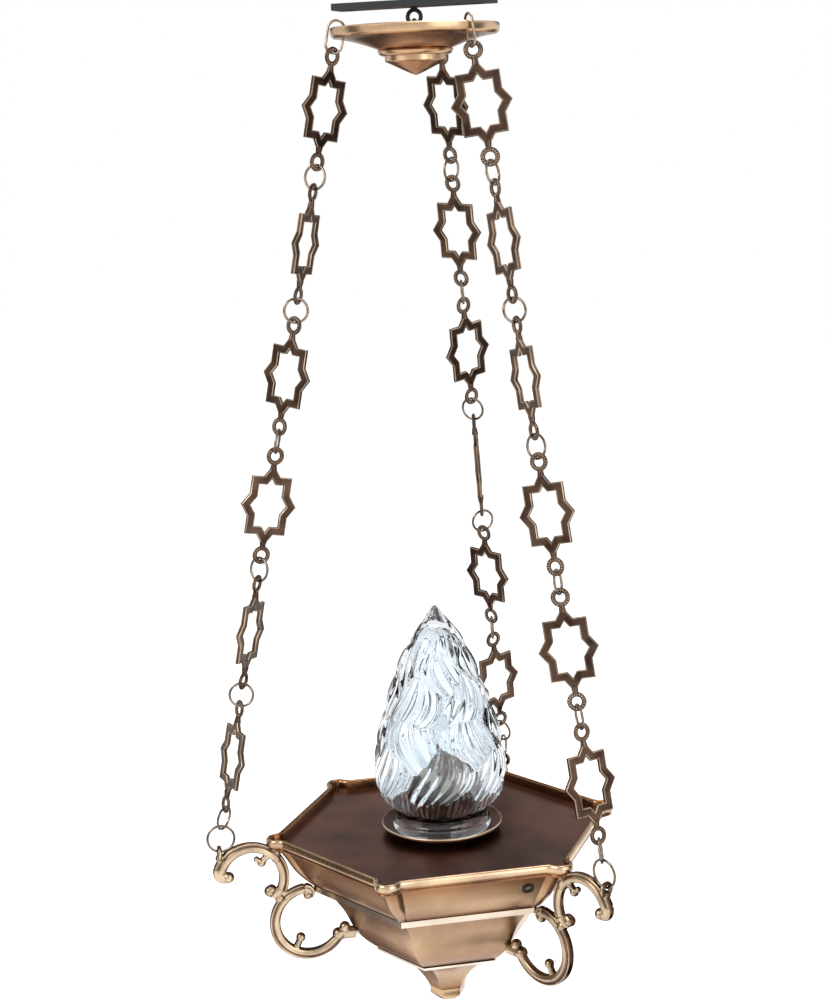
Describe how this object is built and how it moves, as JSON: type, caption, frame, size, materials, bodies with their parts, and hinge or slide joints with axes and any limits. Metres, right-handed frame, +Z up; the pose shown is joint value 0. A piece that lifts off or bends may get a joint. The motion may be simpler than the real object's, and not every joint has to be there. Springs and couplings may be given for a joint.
{
  "type": "sanctuary lamp",
  "caption": "Hanging lamp: stepped hexagonal bowl with scroll arms, flame-shaped glass, and star-link chains from a round canopy under a ceiling bar.",
  "frame": {"origin": "middle of the ceiling bar's top face, where it meets the ceiling", "axes": "+Z up to the ceiling, +X along the bar; the chains stand at 210, 330 and 90 degrees about Z"},
  "size_m": [0.3202, 0.3238, 0.7719],
  "materials": {
    "iron": "black paint with a blue-green sheen",
    "canopy_brass": "copper-toned antique brass, satin",
    "rim_brass": "pale antique brass, polished edges",
    "body_brass": "antique brass, satin",
    "ledge_brass": "pale brass, bright",
    "tray_bronze": "dark brown patina",
    "chain_bronze": "dark bronze patina with bright edges",
    "ring_wire": "pale brass wire",
    "arm_brass": "antique brass casting with dark recesses",
    "steel": "plain zinc-plated steel",
    "glass": "clear moulded glass",
    "bulb_glass": "clear thin glass",
    "phenolic": "black moulded phenolic",
    "insulator": "off-white moulding",
    "contact_brass": "bright brass",
    "cap_metal": "plain cap metal",
    "rubber": "black bush"
  },
  "bodies": {
    "mounting": {"ceiling_bar": "iron", "ceiling_eye": "iron"},
    "link": {"hook_link": "iron"},
    "canopy": {"canopy_dish": "canopy_brass", "canopy_stem": "iron", "canopy_finial": "canopy_brass"},
    "bowl": {"gallery_rim": "rim_brass", "tray_plate": "tray_bronze", "upper_tier": "body_brass", "ledge_plate": "ledge_brass", "lower_tier": "body_brass", "base_plate": "ledge_brass", "trumpet": "body_brass", "end_knob": "body_brass", "tie_rod": "steel", "rod_nuts": "steel", "rod_washers": "steel", "cable_bush": "rubber", "saucer": "tray_bronze", "lampholder": "phenolic", "thread_sleeve": "contact_brass", "centre_contact": "contact_brass", "scroll_arm_a": "arm_brass", "scroll_arm_b": "arm_brass", "scroll_arm_c": "arm_brass", "arm_screws": "steel"},
    "glass": {"flame_glass": "glass"},
    "bulb": {"bulb_cap": "cap_metal", "bulb_neck": "insulator", "bulb_glass": "bulb_glass", "bulb_filament": "insulator"},
    "chain_a": {"hanger_ring_a": "ring_wire", "joining_rings_a": "ring_wire", "arm_ring_a": "ring_wire"},
    "star_a1": {"star_link_a1": "chain_bronze"},
    "star_a2": {"star_link_a2": "chain_bronze"},
    "star_a3": {"star_link_a3": "chain_bronze"},
    "star_a4": {"star_link_a4": "chain_bronze"},
    "star_a5": {"star_link_a5": "chain_bronze"},
    "star_a6": {"star_link_a6": "chain_bronze"},
    "chain_b": {"hanger_ring_b": "ring_wire", "joining_rings_b": "ring_wire", "arm_ring_b": "ring_wire"},
    "star_b1": {"star_link_b1": "chain_bronze"},
    "star_b2": {"star_link_b2": "chain_bronze"},
    "star_b3": {"star_link_b3": "chain_bronze"},
    "star_b4": {"star_link_b4": "chain_bronze"},
    "star_b5": {"star_link_b5": "chain_bronze"},
    "star_b6": {"star_link_b6": "chain_bronze"},
    "chain_c": {"hanger_ring_c": "ring_wire", "joining_rings_c": "ring_wire", "arm_ring_c": "ring_wire"},
    "star_c1": {"star_link_c1": "chain_bronze"},
    "star_c2": {"star_link_c2": "chain_bronze"},
    "star_c3": {"star_link_c3": "chain_bronze"},
    "star_c4": {"star_link_c4": "chain_bronze"},
    "star_c5": {"star_link_c5": "chain_bronze"},
    "star_c6": {"star_link_c6": "chain_bronze"}
  },
  "joints": [
    {"name": "link_swing", "type": "hinge", "parent": "mounting", "child": "link", "pos_m": [0, 0, -0.017], "axis": [1, 0, 0], "range_deg": [-9, 9]},
    {"name": "canopy_swing", "type": "hinge", "parent": "link", "child": "canopy", "pos_m": [0, 0, -0.02375], "axis": [0, 1, 0], "range_deg": [-7, 7]},
    {"name": "bowl_twist", "type": "hinge", "parent": "canopy", "child": "bowl", "pos_m": [0, 0, -0.62391], "axis": [0, 0, 1], "range_deg": [-4, 4]},
    {"name": "glass_lift", "type": "slide", "parent": "bowl", "child": "glass", "axis": [0, 0, 1], "range_m": [0, 0.15]},
    {"name": "bulb_unscrew", "type": "slide", "parent": "bowl", "child": "bulb", "axis": [0, 0, 1], "range_m": [0, 0.024]},
    {"name": "chain_sway_a", "type": "hinge", "parent": "canopy", "child": "chain_a", "pos_m": [-0.04971, -0.0287, -0.01785], "axis": [-0.866, -0.5, 0], "range_deg": [-1.2, 1.2]},
    {"name": "star_turn_a1", "type": "hinge", "parent": "chain_a", "child": "star_a1", "pos_m": [-0.0593, -0.03424, -0.07539], "axis": [0.1637, 0.0945, 0.982], "range_deg": [-8, 8]},
    {"name": "star_turn_a2", "type": "hinge", "parent": "chain_a", "child": "star_a2", "pos_m": [-0.07533, -0.04349, -0.17153], "axis": [0.1637, 0.0945, 0.982], "range_deg": [-8, 8]},
    {"name": "star_turn_a3", "type": "hinge", "parent": "chain_a", "child": "star_a3", "pos_m": [-0.09136, -0.05275, -0.26766], "axis": [0.1637, 0.0945, 0.982], "range_deg": [-8, 8]},
    {"name": "star_turn_a4", "type": "hinge", "parent": "chain_a", "child": "star_a4", "pos_m": [-0.10739, -0.062, -0.3638], "axis": [0.1637, 0.0945, 0.982], "range_deg": [-8, 8]},
    {"name": "star_turn_a5", "type": "hinge", "parent": "chain_a", "child": "star_a5", "pos_m": [-0.12342, -0.07126, -0.45993], "axis": [0.1637, 0.0945, 0.982], "range_deg": [-8, 8]},
    {"name": "star_turn_a6", "type": "hinge", "parent": "chain_a", "child": "star_a6", "pos_m": [-0.13945, -0.08051, -0.55607], "axis": [0.1637, 0.0945, 0.982], "range_deg": [-8, 8]},
    {"name": "chain_sway_b", "type": "hinge", "parent": "canopy", "child": "chain_b", "pos_m": [0.04971, -0.0287, -0.01785], "axis": [0.866, -0.5, 0], "range_deg": [-1.2, 1.2]},
    {"name": "star_turn_b1", "type": "hinge", "parent": "chain_b", "child": "star_b1", "pos_m": [0.0593, -0.03424, -0.07539], "axis": [-0.1637, 0.0945, 0.982], "range_deg": [-8, 8]},
    {"name": "star_turn_b2", "type": "hinge", "parent": "chain_b", "child": "star_b2", "pos_m": [0.07533, -0.04349, -0.17153], "axis": [-0.1637, 0.0945, 0.982], "range_deg": [-8, 8]},
    {"name": "star_turn_b3", "type": "hinge", "parent": "chain_b", "child": "star_b3", "pos_m": [0.09136, -0.05275, -0.26766], "axis": [-0.1637, 0.0945, 0.982], "range_deg": [-8, 8]},
    {"name": "star_turn_b4", "type": "hinge", "parent": "chain_b", "child": "star_b4", "pos_m": [0.10739, -0.062, -0.3638], "axis": [-0.1637, 0.0945, 0.982], "range_deg": [-8, 8]},
    {"name": "star_turn_b5", "type": "hinge", "parent": "chain_b", "child": "star_b5", "pos_m": [0.12342, -0.07126, -0.45993], "axis": [-0.1637, 0.0945, 0.982], "range_deg": [-8, 8]},
    {"name": "star_turn_b6", "type": "hinge", "parent": "chain_b", "child": "star_b6", "pos_m": [0.13945, -0.08051, -0.55607], "axis": [-0.1637, 0.0945, 0.982], "range_deg": [-8, 8]},
    {"name": "chain_sway_c", "type": "hinge", "parent": "canopy", "child": "chain_c", "pos_m": [0, 0.0574, -0.01785], "axis": [0, 1, 0], "range_deg": [-1.2, 1.2]},
    {"name": "star_turn_c1", "type": "hinge", "parent": "chain_c", "child": "star_c1", "pos_m": [0, 0.06848, -0.07539], "axis": [0, -0.1891, 0.982], "range_deg": [-8, 8]},
    {"name": "star_turn_c2", "type": "hinge", "parent": "chain_c", "child": "star_c2", "pos_m": [0, 0.08699, -0.17153], "axis": [0, -0.1891, 0.982], "range_deg": [-8, 8]},
    {"name": "star_turn_c3", "type": "hinge", "parent": "chain_c", "child": "star_c3", "pos_m": [0, 0.1055, -0.26766], "axis": [0, -0.1891, 0.982], "range_deg": [-8, 8]},
    {"name": "star_turn_c4", "type": "hinge", "parent": "chain_c", "child": "star_c4", "pos_m": [0, 0.124, -0.3638], "axis": [0, -0.1891, 0.982], "range_deg": [-8, 8]},
    {"name": "star_turn_c5", "type": "hinge", "parent": "chain_c", "child": "star_c5", "pos_m": [0, 0.14251, -0.45993], "axis": [0, -0.1891, 0.982], "range_deg": [-8, 8]},
    {"name": "star_turn_c6", "type": "hinge", "parent": "chain_c", "child": "star_c6", "pos_m": [0, 0.16102, -0.55607], "axis": [0, -0.1891, 0.982], "range_deg": [-8, 8]}
  ],
  "couplings": [
    {"joint": "chain_sway_a", "follows": "bowl_twist", "ratio": 0.2863},
    {"joint": "chain_sway_b", "follows": "bowl_twist", "ratio": 0.2863},
    {"joint": "chain_sway_c", "follows": "bowl_twist", "ratio": 0.2863}
  ]
}
